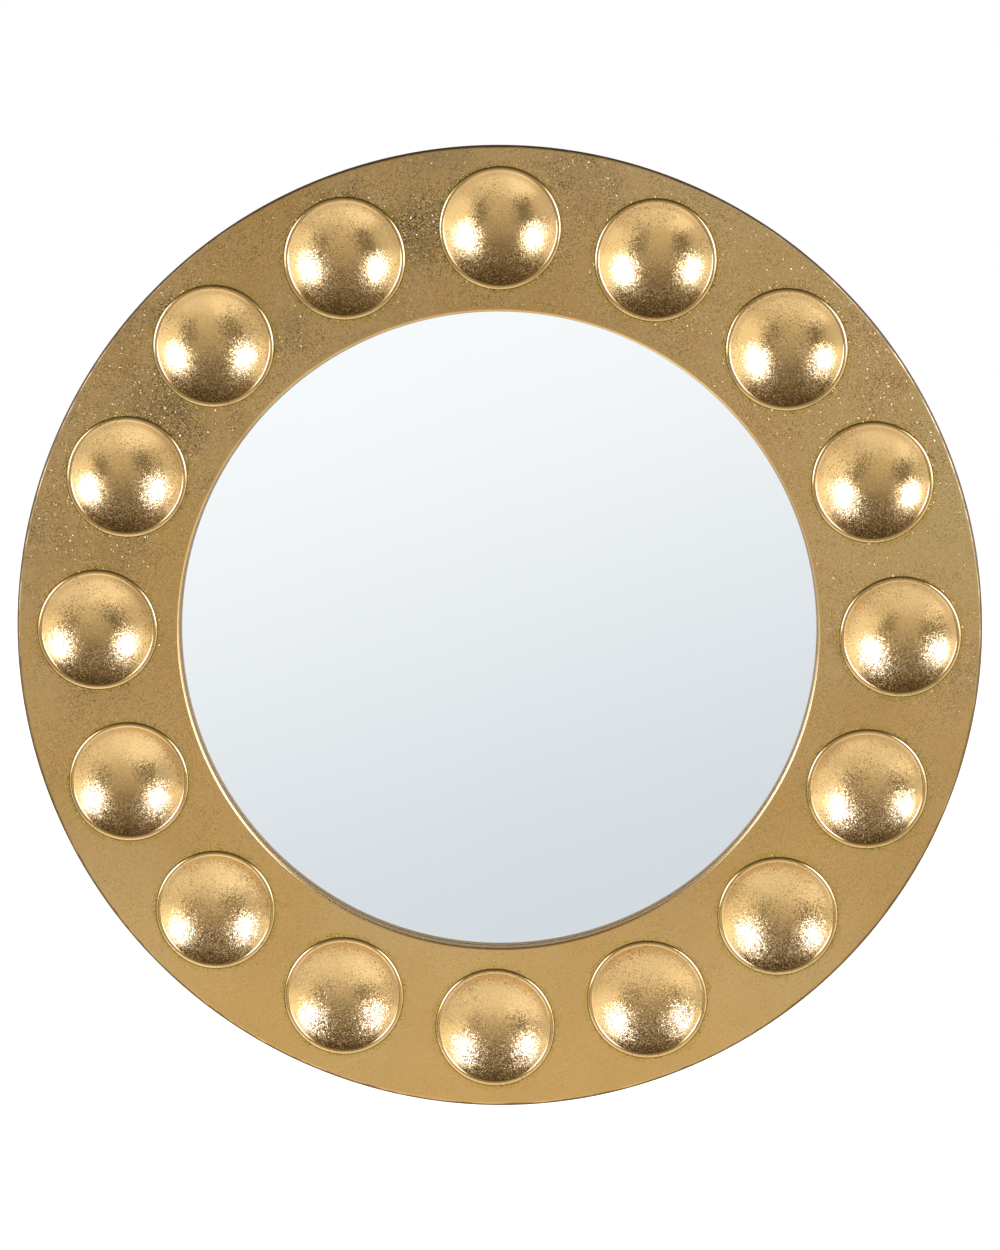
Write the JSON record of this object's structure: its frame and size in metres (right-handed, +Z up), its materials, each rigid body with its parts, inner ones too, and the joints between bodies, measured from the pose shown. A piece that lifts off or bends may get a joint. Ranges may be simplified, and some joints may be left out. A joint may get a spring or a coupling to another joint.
{
  "type": "wall mirror",
  "caption": "Round wall mirror with a wide flat gilded ring set with concave dishes around a recessed glass, hung by swinging rings on its back.",
  "frame": {"origin": "on the plane of the wall, behind the centre of the glass", "axes": "+X to the right as seen from the front, +Y into the wall, +Z up; the mirror faces -Y"},
  "size_m": [0.8, 0.0342, 0.8],
  "materials": {
    "gilded_ring": "satin",
    "gilded_dish": "gloss",
    "adhesive": "matte",
    "silvered_glass": "polished",
    "foam_tape": "matte",
    "backing_board": "matte",
    "clip_steel": "satin",
    "screw_steel": "satin",
    "hanger_steel": "satin",
    "bumper_rubber": "matte"
  },
  "bodies": {
    "frame": {"frame_ring": "gilded_ring", "dish_01": "gilded_dish", "dish_02": "gilded_dish", "dish_03": "gilded_dish", "dish_04": "gilded_dish", "dish_05": "gilded_dish", "dish_06": "gilded_dish", "dish_07": "gilded_dish", "dish_08": "gilded_dish", "dish_09": "gilded_dish", "dish_10": "gilded_dish", "dish_11": "gilded_dish", "dish_12": "gilded_dish", "dish_13": "gilded_dish", "dish_14": "gilded_dish", "dish_15": "gilded_dish", "dish_16": "gilded_dish", "dish_glue_pads": "adhesive", "mirror_glass": "silvered_glass", "glass_gasket": "foam_tape", "backing_panel": "backing_board", "panel_clip_1": "clip_steel", "panel_clip_2": "clip_steel", "panel_clip_3": "clip_steel", "panel_clip_4": "clip_steel", "panel_clip_5": "clip_steel", "panel_clip_6": "clip_steel", "panel_clip_7": "clip_steel", "panel_clip_8": "clip_steel", "panel_clip_screws": "screw_steel", "hanger_strap_left": "hanger_steel", "hanger_strap_right": "hanger_steel", "hanger_screws": "screw_steel", "wall_bumper_1": "bumper_rubber", "wall_bumper_2": "bumper_rubber", "wall_bumper_3": "bumper_rubber", "wall_bumper_4": "bumper_rubber"},
    "ring_left": {"hanger_ring_left": "hanger_steel"},
    "ring_right": {"hanger_ring_right": "hanger_steel"}
  },
  "joints": [
    {"name": "hanger_ring_left_swing", "type": "hinge", "parent": "frame", "child": "ring_left", "pos_m": [-0.18473, -0.00335, 0.29896], "axis": [-1, 0, 0], "range_deg": [0, 178]},
    {"name": "hanger_ring_right_swing", "type": "hinge", "parent": "frame", "child": "ring_right", "pos_m": [0.18473, -0.00335, 0.29896], "axis": [-1, 0, 0], "range_deg": [0, 178]}
  ]
}
